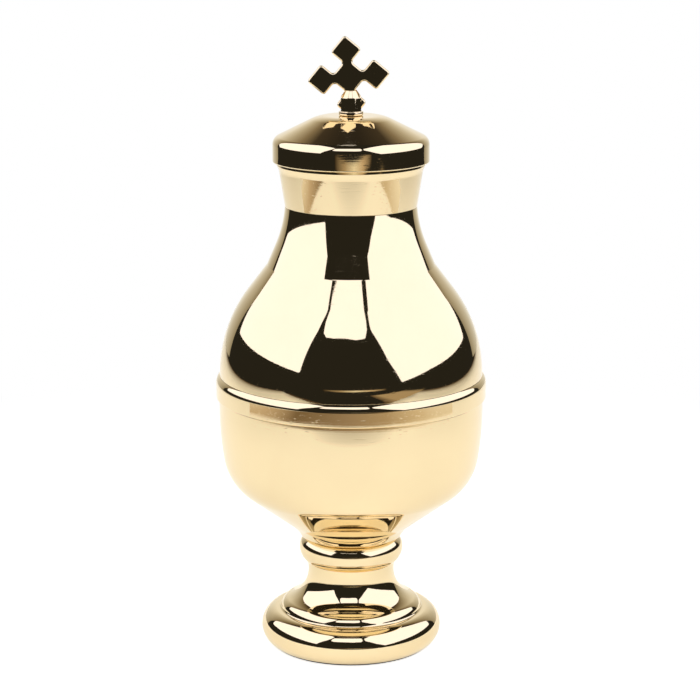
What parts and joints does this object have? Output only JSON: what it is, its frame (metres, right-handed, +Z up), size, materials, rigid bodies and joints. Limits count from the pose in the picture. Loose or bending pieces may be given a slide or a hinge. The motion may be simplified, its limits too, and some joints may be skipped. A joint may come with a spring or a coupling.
{
  "type": "holy oil container",
  "caption": "Footed gilt vessel for holy oil: a bowl and a pear-shaped cover round a glass jar, and a domed lid with a cross.",
  "frame": {"origin": "middle of the foot's underside, on the surface that the object stands on", "axes": "+Z up along the turned axis, the cross's face and the front towards -Y, +X to the right seen from the front"},
  "size_m": [0.101, 0.101, 0.2299],
  "materials": {
    "gilt": "mirror-polished gilding",
    "steel": "plain turned steel",
    "glass": "clear blown glass",
    "silicone": "matt translucent silicone",
    "cork": "pressed cork",
    "felt": "black felt"
  },
  "bodies": {
    "base": {"felt_ring": "felt", "foot": "gilt", "foot_spreader": "steel", "foot_nut": "steel", "tie_bolt": "steel", "knop": "gilt", "bowl": "gilt", "bolt_washer": "steel", "bowl_bezel": "gilt", "cork_ring": "cork"},
    "jar": {"oil_jar": "glass"},
    "cover": {"rim_ring": "gilt", "cover": "gilt", "neck_ring": "gilt"},
    "lid": {"lid": "gilt", "lid_plate": "gilt", "lid_seal": "silicone", "lid_spacer": "gilt", "stud_washer": "steel", "stud_nut": "steel", "finial_post": "gilt", "cross": "gilt"}
  },
  "joints": [
    {"name": "cover_lift", "type": "slide", "parent": "base", "child": "cover", "axis": [0, 0, 1], "range_m": [0, 0.2]},
    {"name": "lid_lift", "type": "slide", "parent": "cover", "child": "lid", "axis": [0, 0, 1], "range_m": [0, 0.04]},
    {"name": "jar_lift", "type": "slide", "parent": "base", "child": "jar", "axis": [0, 0, 1], "range_m": [0, 0.07]}
  ],
  "couplings": [
    {"joint": "jar_lift", "follows": "cover_lift", "ratio": 0.35}
  ]
}
